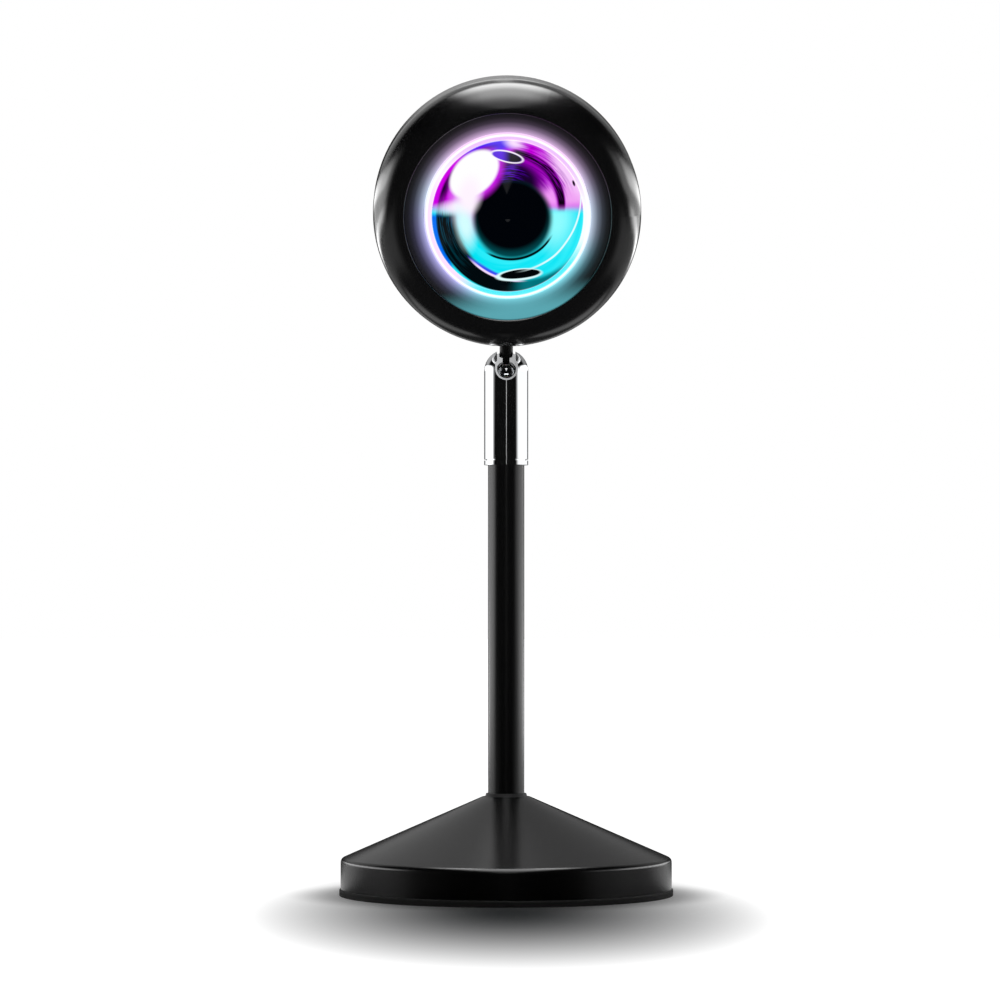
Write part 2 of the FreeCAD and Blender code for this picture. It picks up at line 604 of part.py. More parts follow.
def make_front_bezel():
    """A rounded ring in front of the housing, with a shelf that carries the inner ring."""
    outside = dim.head_radius
    seam = dim.head_land_front
    lip = bezel_bore_radius
    spigot = outside - dim.head_wall - dim.fit_clearance
    spigot_inside = spigot - dim.spigot_wall
    shelf_top = dim.head_front_depth - dim.bezel_shelf_depth
    shelf_bottom = shelf_top - dim.bezel_shelf_thickness
    shelf_inside = lip - dim.bezel_shelf_width
    body = turned("front_bezel", [
        (outside, seam, seam), (lip, dim.head_front_depth), (lip, shelf_top),
        (shelf_inside, shelf_top), (shelf_inside, shelf_bottom),
        (spigot_inside - dim.head_wall, shelf_bottom),
        (spigot_inside, dim.head_front_depth - dim.bezel_inner_depth),
        (spigot_inside, seam - dim.spigot_length), (spigot, seam - dim.spigot_length),
        (spigot, seam)], head_frame)
    rounded(body, dim.bezel_lip_round, [(lip, dim.head_front_depth)])
    boss_height = shelf_bottom - dim.carrier_front
    boss = pad(body, dim.carrier_front, boss_height,
               circle=(0, carrier_screw_circle, dim.carrier_boss_radius))
    hole = cut(body, shelf_bottom, boss_height,
               circle=(0, carrier_screw_circle, dim.carrier_screw_radius))
    around(body, [boss, hole], dim.screw_count)


# ---------------------------------------------------------------- front optics

def make_inner_ring():
    """The dark ring round the lens, sloping in, with a skirt that holds the lens's ring."""
    outside = bezel_bore_radius - dim.fit_clearance
    shelf_top = dim.head_front_depth - dim.bezel_shelf_depth
    edge = dim.head_front_depth - dim.ring_step
    inner = edge_ring_radius + dim.fit_clearance
    skirt = inner + dim.ring_skirt_wall
    turned("inner_ring", [
        (outside, shelf_top), (outside, edge), (inner, edge - dim.ring_fall),
        (inner, dim.carrier_front), (skirt, dim.carrier_front), (skirt, shelf_top)], head_frame)


def ring_front():
    """The level of the white ring's front, just proud of the dark ring's inner edge."""
    return dim.head_front_depth - dim.ring_step - dim.ring_fall + dim.edge_ring_stand


def make_lens_edge_ring():
    """The white ring that the lens sits in."""
    outside = edge_ring_radius
    inside = outside - dim.edge_ring_wall
    front = ring_front()
    lip_top = dim.carrier_front + dim.edge_ring_lip_thickness
    lip = inside - dim.edge_ring_lip
    body = turned("lens_edge_ring", [
        (lip, dim.carrier_front), (outside, dim.carrier_front), (outside, front),
        (inside, front), (inside, lip_top), (lip, lip_top)], head_frame)
    rounded(body, dim.edge_ring_round, [(outside, front), (inside, front)])


def make_lens():
    """A flat-backed, domed glass lens on a thin gasket."""
    radius = edge_ring_radius - dim.edge_ring_wall - dim.fit_clearance
    lip_top = dim.carrier_front + dim.edge_ring_lip_thickness
    back = lip_top + dim.gasket_thickness
    rim = ring_front() - dim.lens_rim_drop
    turned("lens", [(ZERO, back), (radius, back), (radius, rim, "axis"),
                    (ZERO, rim + dim.lens_crown)], head_frame)
    inside = radius - dim.edge_ring_lip + dim.fit_clearance * 2
    turned("lens_gasket", [(inside, lip_top), (radius, lip_top), (radius, back), (inside, back)],
           head_frame)


def make_carrier():
    """The plate behind the lens's ring, with the colour filter let into its back."""
    front = dim.carrier_front
    back = front - dim.carrier_thickness
    recess = back + dim.filter_thickness
    bore = filter_radius - dim.filter_lip
    body = turned("lens_carrier", [
        (bore, front), (bore, recess), (filter_radius + dim.fit_clearance, recess),
        (filter_radius + dim.fit_clearance, back), (carrier_radius, back),
        (carrier_radius, front)], head_frame)
    hole = cut(body, front, dim.carrier_thickness,
               circle=(0, carrier_screw_circle, dim.carrier_screw_radius
                       + dim.fit_clearance))
    around(body, [hole], dim.screw_count)
    turned("colour_filter", [(ZERO, back), (filter_radius, back),
                             (filter_radius, recess), (ZERO, recess)], head_frame)


def make_reflector():
    """A bright cone from the lamp's chips to the filter, on a flat flange."""
    front = dim.carrier_front - dim.carrier_thickness
    back = front - dim.reflector_depth
    throat = dim.reflector_throat_radius
    body = turned("reflector", [
        (carrier_radius, front), (reflector_mouth_radius, front), (throat, back),
        (throat + dim.reflector_sheet_radial, back),
        (reflector_mouth_radius + dim.reflector_sheet_radial, front - dim.reflector_sheet),
        (carrier_radius, front - dim.reflector_sheet)], head_frame)
    hole = cut(body, front, dim.reflector_sheet,
               circle=(0, carrier_screw_circle, dim.carrier_screw_radius
                       + dim.fit_clearance))
    around(body, [hole], dim.screw_count)


def make_screws(label, circle, angle_sign, radius, head_radius, head_height, seat, length,
                toward):
    """Three round-headed screws on a circle; toward is 1 where the shank points forward."""
    body = new_body(label, head_frame)
    centre = circle * angle_sign
    if toward > 0:
        head = pad(body, seat - head_height, head_height, circle=(0, centre, head_radius))
        shank = pad(body, seat - head_height, head_height + length, circle=(0, centre, radius))
        cross_top = seat - head_height / 2
    else:
        head = pad(body, seat, head_height, circle=(0, centre, head_radius))
        shank = pad(body, seat - length, length + head_height, circle=(0, centre, radius))
        cross_top = seat + head_height
    slot = cut(body, cross_top, head_height / 2,
               outline=box_outline(0, centre, head_radius * dim.screw_slot_length_share,
                                   radius * dim.screw_slot_width_share))
    around(body, [head, shank, slot], dim.screw_count)


def make_carrier_screws():
    seat = dim.carrier_front - dim.carrier_thickness - dim.reflector_sheet
    shelf_bottom = dim.head_front_depth - dim.bezel_shelf_depth - dim.bezel_shelf_thickness
    make_screws("carrier_screws", carrier_screw_circle, 1,
                dim.carrier_screw_radius - dim.thread_clearance, dim.carrier_screw_head_radius,
                dim.carrier_screw_head_height, seat, shelf_bottom - seat - dim.fit_clearance, 1)


# ---------------------------------------------------------------- light source

def led_front():
    return dim.carrier_front - dim.carrier_thickness - dim.reflector_depth


def make_led_board():
    front = led_front()
    back = front - dim.led_board_thickness
    body = turned("led_board", [(ZERO, back), (led_board_radius, back),
                                (led_board_radius, front), (ZERO, front)], head_frame)
    hole = cut(body, front, dim.led_board_thickness,
               circle=(0, led_screw_circle, dim.small_screw_radius + dim.fit_clearance))
    around(body, [hole], dim.screw_count)
    chips = new_body("led_chips", head_frame)
    half = dim.led_chip_size / 2
    spot = dim.led_chip_pitch / 2
    chip = pad(chips, front, dim.led_chip_height, outline=box_outline(spot, spot, half, half))
    around(chips, [chip], dim.led_chip_count)
    make_screws("led_board_screws", led_screw_circle, 1,
                dim.small_screw_radius - dim.thread_clearance, dim.small_screw_head_radius,
                dim.small_screw_head_height, front,
                dim.led_board_thickness + dim.sink_plate - dim.fit_clearance, -1)


def make_heat_sink():
    """A round plate with straight fins behind it."""
    front = led_front() - dim.led_board_thickness
    back = front - dim.sink_plate
    body = turned("heat_sink", [(ZERO, back), (sink_radius, back), (sink_radius, front),
                                (ZERO, front)], head_frame)
    post_hole = cut(body, front, dim.sink_plate,
                    circle=(0, sink_screw_circle,
                            dim.small_screw_radius + dim.fit_clearance))
    board_hole = cut(body, front, dim.sink_plate,
                     circle=(0, led_screw_circle, dim.small_screw_radius))
    around(body, [post_hole, board_hole], dim.screw_count)
    first = -dim.sink_fin_pitch * (dim.sink_fin_count - 1) / 2
    fin = pad(body, back - dim.sink_fin_height, dim.sink_fin_height,
              outline=box_outline(first, 0, dim.sink_fin_thickness / 2,
                                  dim.sink_fin_half_length))
    pattern = body.newObject("PartDesign::LinearPattern", "heat_sink_fins")
    pattern.Originals = [fin]
    pattern.Direction = (origin_feature(body, "X_Axis"), [""])
    pattern.Mode = "Spacing"
    pattern.setExpression("Offset", dim.sink_fin_pitch.formula)
    pattern.setExpression("Occurrences", dim.sink_fin_count.formula)
    body.Tip = pattern
    doc.recompute()
    post_height = dim.head_back_depth - dim.head_wall - sink_back_depth()
    make_screws("heat_sink_screws", sink_screw_circle, 1,
                dim.small_screw_radius - dim.thread_clearance, dim.small_screw_head_radius,
                dim.small_screw_head_height, front,
                dim.sink_plate + post_height - dim.screw_end_gap, -1)


# ---------------------------------------------------------------- driver board

def make_driver():
    wall = -dim.head_back_depth + dim.head_wall
    back = -dim.board_back
    front = back + dim.board_thickness
    middle = (board_bottom + board_top) / 2
    half = (board_top - board_bottom) / 2
    board = new_body("driver_board", head_frame)
    pad(board, back, dim.board_thickness,
        outline=box_outline(0, middle, dim.board_half_width, half))
    posts = new_body("driver_posts", head_frame)
    post_y = board_top - dim.board_post_inset
    for side in (-1, 1):
        pad(posts, wall, back - wall,
            circle=(dim.board_post_x * side, post_y, dim.board_post_radius))
    parts = new_body("driver_parts", head_frame)
    parts_y = board_top - dim.board_parts_inset
    pad(parts, front, dim.coil_height, circle=(-dim.coil_x, parts_y, dim.coil_radius))
    pad(parts, front, dim.capacitor_height,
        circle=(dim.coil_x, parts_y, dim.capacitor_radius))
    pad(parts, front, dim.chip_height,
        outline=box_outline(0, parts_y, dim.chip_half_width, dim.chip_half_width))


# ---------------------------------------------------------------- vent grille and inlet

def make_vent_grille():
    rear = -dim.head_back_depth
    shelf = rear + dim.grille_thickness
    radius = grille_radius - dim.fit_clearance
    body = turned("vent_grille", [(ZERO, rear), (radius, rear), (radius, shelf), (ZERO, shelf)],
                  head_frame)
    slot_outer = grille_radius - dim.grille_slot_inset
    middle = (dim.grille_slot_inner + slot_outer) / 2
    half = (slot_outer - dim.grille_slot_inner) / 2
    slot = cut(body, shelf, dim.grille_thickness,
               outline=box_outline(0, middle, dim.grille_slot_width / 2, half))
    around(body, [slot], dim.grille_slot_count)
    hole = cut(body, shelf, dim.grille_thickness,
               circle=(0, -grille_screw_circle, dim.small_screw_radius
                       + dim.fit_clearance))
    around(body, [hole], dim.screw_count)
    make_screws("grille_screws", grille_screw_circle, -1,
                dim.small_screw_radius - dim.thread_clearance, dim.small_screw_head_radius,
                dim.small_screw_head_height / 2, rear,
                dim.grille_thickness + dim.grille_boss_height / 2, 1)


def make_inlet():
    """A small power socket in the back of the head, on its own board."""
    rear = -dim.head_back_depth + dim.inlet_set_back
    half_width = dim.inlet_width / 2
    half_height = dim.inlet_height / 2
    shell = new_body("inlet_shell", head_frame)
    pad(shell, rear, dim.inlet_length, outline=box_outline(0, -inlet_y, half_width,
                                                           half_height))
    cut(shell, rear + dim.inlet_length - dim.inlet_sheet, dim.inlet_length,
        outline=box_outline(0, -inlet_y, half_width - dim.inlet_sheet,
                            half_height - dim.inlet_sheet))
    tongue = new_body("inlet_tongue", head_frame)
    tongue_rear = rear + dim.inlet_length - dim.inlet_sheet - dim.inlet_tongue_length
    pad(tongue, tongue_rear, dim.inlet_tongue_length,
        outline=box_outline(0, -inlet_y, dim.inlet_tongue_width / 2,
                            dim.inlet_tongue_thickness / 2))
    board = new_body("inlet_board", head_frame)
    board_rear = -dim.head_back_depth + dim.head_wall
    board_middle = inlet_y + half_height + dim.inlet_board_thickness / 2
    pad(board, board_rear, dim.inlet_board_length,
        outline=box_outline(0, -board_middle, dim.inlet_board_width / 2,
                            dim.inlet_board_thickness / 2))


# ---------------------------------------------------------------- internal wires

def spot(x, y, z):
    """A point of a route, from its three sizes."""
    return Vector(as_size(x).value, as_size(y).value, as_size(z).value)


def swept(points):
    """A round wire through the points, with a tangent arc at each corner."""
    radius = dim.wire_radius.value
    edges = []
    start = points[0]
    for before, corner, after in zip(points, points[1:], points[2:]):
        reach = dim.wire_corner_share.value * min((before - corner).Length,
                                                  (after - corner).Length)
        begin = corner + (before - corner).normalize() * reach
        finish = corner + (after - corner).normalize() * reach
        inward = (begin + finish) * 0.5 - corner
        bend = (finish - begin).Length / 2 * reach / inward.Length
        depth = (bend ** 2 + reach ** 2) ** 0.5 - bend
        middle = corner + inward.normalize() * depth
        edges.append(Part.LineSegment(start, begin).toShape())
        edges.append(Part.Arc(begin, middle, finish).toShape())
        start = finish
    edges.append(Part.LineSegment(start, points[-1]).toShape())
    direction = (points[1] - points[0]).normalize()
    section = Part.Wire([Part.Circle(points[0], direction, radius).toShape()])
    return Part.Wire(edges).makePipeShell([section], True, False)


def add_wires(label, routes):
    wires = doc.addObject("Part::Feature", label)
    wires.Label = label
    wires.Shape = Part.Compound([swept(route) for route in routes])
    wires.setExpression("Placement", "HeadFrame.Placement")
    pieces.append(wires)


def make_wires():
    """Two wires from the chips' board to the driver and two from the inlet to the driver."""
    lift = dim.wire_radius + dim.fit_clearance
    chip_face = led_front() + lift
    driver_face = -dim.board_back + dim.board_thickness + lift
    landing = board_bottom + dim.wire_radius * 2
    routes = []
    for index in (0, 1):
        x = -dim.wire_pitch * (index + 2)
        routes.append([spot(x, led_board_radius - dim.wire_pad_inset, chip_face),
                       spot(x, board_bottom - dim.wire_turn, chip_face),
                       spot(x, board_bottom - dim.wire_step, driver_face),
                       spot(x, landing, driver_face)])
    add_wires("led_wires", routes)
    side = sink_radius + dim.wire_side_gap
    inlet_face = -inlet_y - dim.inlet_height / 2 + lift
    behind = led_front() - dim.led_board_thickness + lift
    routes = []
    for index in (0, 1):
        step = dim.wire_pitch * index
        x = dim.capacitor_radius + dim.coil_x
        routes.append([spot(dim.wire_pitch * 2 - step, inlet_face, behind - dim.wire_pitch),
                       spot(side / 2, inlet_face + dim.wire_turn / 2,
                            behind - dim.wire_pitch / 2 + step),
                       spot(side - dim.wire_step, -side / 2, behind + step),
                       spot(side, dim.wire_pitch, behind + step),
                       spot(side * dim.wire_pass_x_share, side * dim.wire_pass_y_share,
                            driver_face + step / 2),
                       spot(x + dim.wire_turn - dim.wire_step,
                            landing + dim.wire_pitch - step, driver_face),
                       spot(x, landing + dim.wire_pitch - step, driver_face)])
    add_wires("inlet_wires", routes)


for make in (make_foot_pad, make_base_shell, make_base_weight, make_base_fixing, make_stem,
             make_socket, make_seat_spring, make_neck, make_rear_housing, make_swivel_bush,
             make_front_bezel, make_inner_ring, make_lens_edge_ring, make_lens, make_carrier,
             make_reflector, make_carrier_screws, make_led_board, make_heat_sink, make_driver,
             make_vent_grille, make_inlet, make_wires):
    make()

doc.recompute()
for item in doc.Objects:
    if "Invalid" in item.State or "Error" in item.State:
        raise RuntimeError(f"{item.Label} failed: {item.State}")
for piece in pieces:
    if piece.Shape.isNull() or not piece.Shape.isValid():
        raise RuntimeError(f"{piece.Label} has no valid shape")

os.makedirs("parts", exist_ok=True)
for piece in pieces:
    piece.Shape.exportStep(f"parts/{piece.Label}.step")
    box = piece.Shape.BoundBox
    print(f"{piece.Label:20s} {len(piece.Shape.Solids)} solids {piece.Shape.Volume:10.1f} mm3 "
          f"z {box.ZMin:7.2f} {box.ZMax:7.2f}")
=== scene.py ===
"""Dresses the sunset projection lamp: black enamel, polished chrome and a lit glass lens."""
import json
import math
import bpy
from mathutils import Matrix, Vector

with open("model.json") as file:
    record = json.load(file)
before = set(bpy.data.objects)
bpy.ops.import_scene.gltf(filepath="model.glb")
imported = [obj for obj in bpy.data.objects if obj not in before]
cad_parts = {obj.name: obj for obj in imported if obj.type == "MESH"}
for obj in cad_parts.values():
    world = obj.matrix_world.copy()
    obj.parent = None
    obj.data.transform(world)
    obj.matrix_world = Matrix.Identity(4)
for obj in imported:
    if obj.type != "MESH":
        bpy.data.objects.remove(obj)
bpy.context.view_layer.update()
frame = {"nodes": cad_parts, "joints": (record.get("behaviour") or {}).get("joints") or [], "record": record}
scene = bpy.context.scene
nodes = frame["nodes"]
joints = {joint["name"]: joint for joint in frame["joints"]}

MM = 0.001

# The head's own frame: its centre, and its lean forward, from the neck's joint and the lens.
ball_centre = Vector(joints["head_turn"]["pos_m"])
neck_axis = Vector(joints["head_turn"]["axis"]).normalized()
lean = math.atan2(-neck_axis.y, neck_axis.z)
NECK_REACH = 48.51 * MM
head_centre = ball_centre + neck_axis * NECK_REACH
head_forward = Vector((0, -math.cos(lean), -math.sin(lean)))


# ---------------------------------------------------------------- node helpers

def linear(hex_colour):
    """An sRGB hex colour as linear red, green, blue and a full alpha."""
    channels = [int(hex_colour[i:i + 2], 16) / 255 for i in (1, 3, 5)]
    return [c / 12.92 if c <= 0.04045 else ((c + 0.055) / 1.055) ** 2.4 for c in channels] + [1.0]


def add_node(tree, kind, inputs=None, **settings):
    """Adds a node, sets its properties, and sets or links its inputs."""
    node = tree.nodes.new(kind)
    for name, value in settings.items():
        setattr(node, name, value)
    for socket, value in (inputs or {}).items():
        if isinstance(value, bpy.types.NodeSocket):
            tree.links.new(value, node.inputs[socket])
        else:
            node.inputs[socket].default_value = value
    return node


def new_material(name, **shader_values):
    """A material with one principled shader, whose own sockets take the constant values."""
    material = bpy.data.materials.new(name)
    material.use_nodes = True
    tree = material.node_tree
    tree.nodes.clear()
    shader = add_node(tree, "ShaderNodeBsdfPrincipled", {
        socket.replace("_", " "): value for socket, value in shader_values.items()})
    add_node(tree, "ShaderNodeOutputMaterial", {"Surface": shader.outputs["BSDF"]})
    return material, tree, shader


def grain(tree, shader, grain_mm, height_mm, roughness=None, colours=None, stretch=(1, 1, 1)):
    """Fine surface grain: a bump, and where given a spread of roughness and of colour."""
    place = add_node(tree, "ShaderNodeTexCoord").outputs["Object"]
    scaled = add_node(tree, "ShaderNodeMapping", {"Vector": place, "Scale": [
        axis / (grain_mm * MM) for axis in stretch]})
    noise = add_node(tree, "ShaderNodeTexNoise", {
        "Vector": scaled.outputs["Vector"], "Scale": 1.0, "Detail": 3.0, "Roughness": 0.55})
    bump = add_node(tree, "ShaderNodeBump", {
        "Height": noise.outputs["Fac"], "Distance": height_mm * MM, "Strength": 1.0})
    tree.links.new(bump.outputs["Normal"], shader.inputs["Normal"])
    if roughness is not None:
        spread = add_node(tree, "ShaderNodeMapRange", {
            "Value": noise.outputs["Fac"], "From Min": 0.3, "From Max": 0.7,
            "To Min": roughness[0], "To Max": roughness[1]})
        tree.links.new(spread.outputs["Result"], shader.inputs["Roughness"])
    if colours is not None:
        mix = add_node(tree, "ShaderNodeMix", {
            "Factor": noise.outputs["Fac"], "A": linear(colours[0]), "B": linear(colours[1])},
            data_type="RGBA")
        tree.links.new(mix.outputs["Result"], shader.inputs["Base Color"])
    return noise


# ---------------------------------------------------------------- finishes

def black_enamel():
    """Baked satin enamel on metal: near black, with soft broad highlights and a faint skin."""
    material, tree, shader = new_material("black_enamel", IOR=1.5, Roughness=0.22)
    grain(tree, shader, 0.35, 0.0015, (0.19, 0.25), ("#070708", "#0C0C0D"))
    return material


def lacquered_enamel():
    """The same enamel under clear lacquer, on the head: highlights about twice as strong."""
    material, tree, shader = new_material("lacquered_enamel", IOR=1.5, Roughness=0.22,
                                          Coat_Weight=1.0, Coat_IOR=1.5, Coat_Roughness=0.12)
    grain(tree, shader, 0.35, 0.0015, (0.19, 0.25), ("#070708", "#0C0C0D"))
    return material


def matt_moulding():
    """Moulded black plastic with a fine spark texture, which dulls its highlights."""
    material, tree, shader = new_material("matt_moulding", IOR=1.46, Roughness=0.6)
    grain(tree, shader, 0.25, 0.008, (0.52, 0.68), ("#0B0B0C", "#131314"))
    return material


def foot_foam():
    """Closed-cell foam: black, quite dull, with a visible cell grain."""
    material, tree, shader = new_material("foot_foam", IOR=1.4, Roughness=0.9)
    grain(tree, shader, 0.5, 0.03, (0.82, 0.95), ("#0C0C0C", "#191919"))
    return material


def polished_chrome():
    """Chrome plate over polished brass: a clean mirror with a faint polishing grain."""
    material, tree, shader = new_material("polished_chrome", Metallic=1.0, Roughness=0.05)
    grain(tree, shader, 1.2, 0.0004, (0.03, 0.07), ("#E6E8EA", "#F0F1F2"), (1, 1, 0.15))
    return material


def black_oxide():
    """Blackened steel: dark metal with a dull oily shine."""
    material, tree, shader = new_material("black_oxide", Metallic=0.6, Roughness=0.42)
    grain(tree, shader, 0.3, 0.003, (0.36, 0.5), ("#0B0B0B", "#161616"))
    return material


def zinc_plate():
    """Zinc-plated steel: grey metal with a fine crystal grain."""
    material, tree, shader = new_material("zinc_plate", Metallic=1.0, Roughness=0.35)
    grain(tree, shader, 0.4, 0.004, (0.28, 0.45), ("#A9ABAD", "#C4C6C8"))
    return material


def turned_brass():
    """Turned brass: warm metal, with fine rings from the tool."""
    material, tree, shader = new_material("turned_brass", Metallic=1.0, Roughness=0.3)
    grain(tree, shader, 0.5, 0.004, (0.24, 0.38), ("#B08D4A", "#C9A65E"), (0.2, 0.2, 1))
    return material


def cast_iron():
    """Sand-cast iron: dark grey and rough."""
    material, tree, shader = new_material("cast_iron", Metallic=0.7, Roughness=0.7)
    grain(tree, shader, 0.8, 0.05, (0.6, 0.85), ("#2B2B2C", "#3C3C3E"))
    return material


def plain_aluminium():
    """Extruded aluminium: pale grey metal with long draw lines."""
    material, tree, shader = new_material("plain_aluminium", Metallic=1.0, Roughness=0.35)
    grain(tree, shader, 0.4, 0.004, (0.3, 0.42), ("#B4B6B9", "#CBCDD0"), (1, 0.1, 1))
    return material


def natural_nylon():
    """Moulded nylon: milky white and slightly translucent."""
    material, tree, shader = new_material(
        "natural_nylon", IOR=1.53, Roughness=0.45, Subsurface_Weight=0.2,
        Subsurface_Scale=1.0 * MM)
    grain(tree, shader, 0.6, 0.004, (0.4, 0.5), ("#D8D4C8", "#E6E2D8"))
    return material


def solder_resist(name, colours):
    """Lacquered circuit board: a glossy coat over a fine glass weave."""
    material, tree, shader = new_material(name, IOR=1.5, Roughness=0.3, Coat_Weight=0.4,
                                          Coat_Roughness=0.1)
    grain(tree, shader, 0.5, 0.006, (0.25, 0.36), colours)
    return material


def wire_insulation(name, colours):
    """Extruded vinyl insulation: soft sheen."""
    material, tree, shader = new_material(name, IOR=1.5, Roughness=0.4)
    grain(tree, shader, 0.6, 0.003, (0.35, 0.46), colours)
    return material


def coated_filter():
    """Glass with a colour coating, deep violet."""
    material, tree, shader = new_material("coated_filter", IOR=1.52, Roughness=0.05,
                                          Coat_Weight=0.5)
    grain(tree, shader, 4.0, 0.001, (0.04, 0.08), ("#2A0070", "#6010B0"))
    return material


def chip_phosphor():
    """Phosphor over the light chips: dull yellow resin."""
    material, tree, shader = new_material("chip_phosphor", IOR=1.5, Roughness=0.5)
    grain(tree, shader, 0.3, 0.01, (0.45, 0.6), ("#D8B040", "#E8CC60"))
    return material


# ---------------------------------------------------------------- the lit front

# The light seen in the lens, painted from the back to the front, as it looks from before the
# lamp. Each layer is a colour and its masks. A mask is streaks, an oval (centre, half widths,
# tilt in degrees, softness), the outside of one, or a slope (direction, start, end), in mm.
LENS_LAYERS = (
    # Magenta above, cyan below.
    ("#D000E6", ("slope", (0, 1), 0.6, 4.0)),
    ("#F0A4F4", ("slope", (0, 1), 1.5, 5.0), ("slope", (0.95, 0.3), 12.0, 19.0)),
    ("#F59CFA", ("oval", (12.5, 4.0), (4.5, 5.0), 0, 0.7), ("slope", (0, 1), 1.0, 5.0)),
    ("#8CFCFF", ("oval", (14.2, -1.5), (4.2, 6.5), -10, 0.8), ("slope", (0, -1), -3.0, -0.5)),
    # The violet and pale pink arc at the top.
    ("#4A10F0", ("oval", (-5.4, 20.6), (8.6, 2.9), 15, 0.45)),
    ("#F7DCFF", ("oval", (2.6, 21.6), (3.0, 1.6), -6, 0.7)),
    ("#C000DC", ("streaks",), ("slope", (1, 0.2), 6.0, 10.0), ("slope", (0, 1), 7.0, 10.0)),
    ("#FBD0FF", ("oval", (17.6, 13.2), (2.4, 7.2), 36, 0.7)),
    # Deep purple behind the upper left edge.
    ("#24003A", ("oval", (0.2, 0.2), (21.2, 21.2), 0, 0.02),
     ("outside", (1.3, -1.0), (20.6, 20.6), 0, 0.03), ("slope", (-0.75, 0.66), 14.5, 19.5)),
    # The black arc at the upper right, broken by purple streaks.
    ("#B400CC", ("oval", (0.6, 3.4), (16.4, 16.4), 0, 0.02),
     ("outside", (-0.6, 2.2), (15.0, 15.0), 0, 0.04), ("slope", (1, 0), 0.2, 3.0),
     ("slope", (0, 1), 1.0, 4.0)),
    ("#08000E", ("oval", (0.6, 3.4), (16.2, 16.2), 0, 0.02),
     ("outside", (-0.6, 2.3), (15.4, 15.4), 0, 0.03), ("slope", (1, 0), 0.2, 3.0),
     ("slope", (0, 1), 1.0, 4.0)),
    ("#8A00A8", ("thin streaks",), ("oval", (10.6, 13.6), (8.0, 3.4), -46, 0.6)),
    # The wide black crescent at the lower left, blue at its outer edge and teal at its end.
    ("#0070F4", ("oval", (0, 0), (22.4, 22.4), 0, 0.01), ("slope", (-1, -0.2), 18.6, 20.0),
     ("slope", (0, -1), -1.5, 0.5)),
    ("#00080B", ("oval", (0.6, -0.3), (21.7, 21.9), 0, 0.012),
     ("outside", (4.5, 0.8), (19.6, 19.7), 0, 0.035), ("slope", (0, -1), -2.4, 0.6),
     ("slope", (-1, -0.1), -13.0, 1.0)),
    ("#00727C", ("oval", (0.6, -0.3), (21.9, 21.9), 0, 0.02),
     ("outside", (4.5, 0.8), (19.0, 19.4), 0, 0.05), ("oval", (11.5, -17.5), (9.0, 5.0), 35, 0.6)),
    ("#004A66", ("thin streaks",), ("oval", (-18.2, -2.5), (2.6, 6.5), 12, 0.5)),
    ("#00303A", ("thin streaks",), ("oval", (-16.0, -8.5), (3.0, 7.0), 28, 0.6)),
    # Fine pale and blue lines along the crescent's inner edge.
    ("#3A50F0", ("oval", (3.6, 0.9), (19.9, 19.9), 0, 0.01),
     ("outside", (4.6, 1.9), (19.7, 19.9), 0, 0.02), ("slope", (-0.5, -1), 17.0, 18.5)),
    ("#F6DCFF", ("oval", (3.6, 0.9), (20.1, 20.1), 0, 0.008),
     ("outside", (3.9, 1.3), (19.9, 20.0), 0, 0.01), ("slope", (-0.4, -1), 16.4, 18.4)),
    # The pale glow below the hot spot, pink above and cyan below.
    ("#E23CF0", ("oval", (-7.6, 6.4), (4.4, 8.4), -16, 0.8)),
    ("#FBD4FF", ("oval", (-10.6, 6.6), (4.4, 8.0), -8, 0.7)),
    ("#FDF0FF", ("oval", (-13.0, 2.9), (6.0, 1.8), 6, 0.7)),
    ("#D4FEFF", ("oval", (-12.6, -2.2), (2.3, 5.6), 10, 0.8)),
    # The dark middle, purple above it and teal below it.
    ("#8A00B4", ("oval", (1.8, 12.2), (8.6, 4.4), -16, 0.5)),
    ("#1C0030", ("oval", (2.0, 11.0), (7.8, 5.0), -16, 0.4)),
    ("#5A00C0", ("thin streaks",), ("oval", (-1.4, 12.2), (6.0, 3.2), 12, 0.6)),
    ("#00464C", ("oval", (1.4, -1.2), (11.4, 11.3), 0, 0.10)),
    ("#000205", ("oval", (1.2, 0.3), (11.1, 10.5), 0, 0.13)),
    ("#000A0C", ("oval", (1.2, 0.4), (13.5, 13.4), 0, 0.008),
     ("outside", (1.1, 1.0), (13.3, 13.25), 0, 0.012), ("slope", (0.25, -1), 8.2, 10.5)),
    # The hot spot at the upper left, white: a painted reflection of a softbox on the glowing glass.
    ("#D81CF4", ("oval", (-9.2, 11.9), (8.7, 6.0), 44, 0.26)),
    ("#FFFFFF", ("oval", (-9.9, 12.4), (8.3, 5.6), 44, 0.09)),
    ("#FFF4FF", ("oval", (-11.4, 6.2), (3.0, 4.8), -12, 0.6)),
    # A small dark almond beside the hot spot and another at the bottom, outlined in white.
    ("#FFF6FF", ("oval", (-0.2, 17.4), (5.0, 1.75), -13, 0.08)),
    ("#5A20E0", ("oval", (-0.3, 17.4), (4.5, 1.35), -13, 0.10)),
    ("#0A0014", ("oval", (-0.3, 17.4), (4.5, 1.35), -13, 0.10), ("slope", (1, 0), -2.2, 1.0)),
    ("#E0FEFF", ("oval", (3.3, -17.1), (6.9, 1.75), 5, 0.10)),
    ("#000304", ("oval", (3.7, -16.9), (6.0, 1.3), 5, 0.08)),
    # The bright line inside the right edge, and one dark fleck.
    ("#E8FFFF", ("oval", (-0.2, 5.2), (22.0, 22.0), 0, 0.006),
     ("outside", (-0.35, 5.4), (21.75, 21.75), 0, 0.008), ("slope", (1, -0.5), 10.0, 19.0)),
    ("#1A0020", ("oval", (19.4, 9.7), (0.35, 0.9), 20, 0.3)),
)
PICTURE_SLOPE = math.radians(5.4)
LENS_RIM_DEPTH = 12.7 * MM
LENS_RADIUS_MM = 22.4
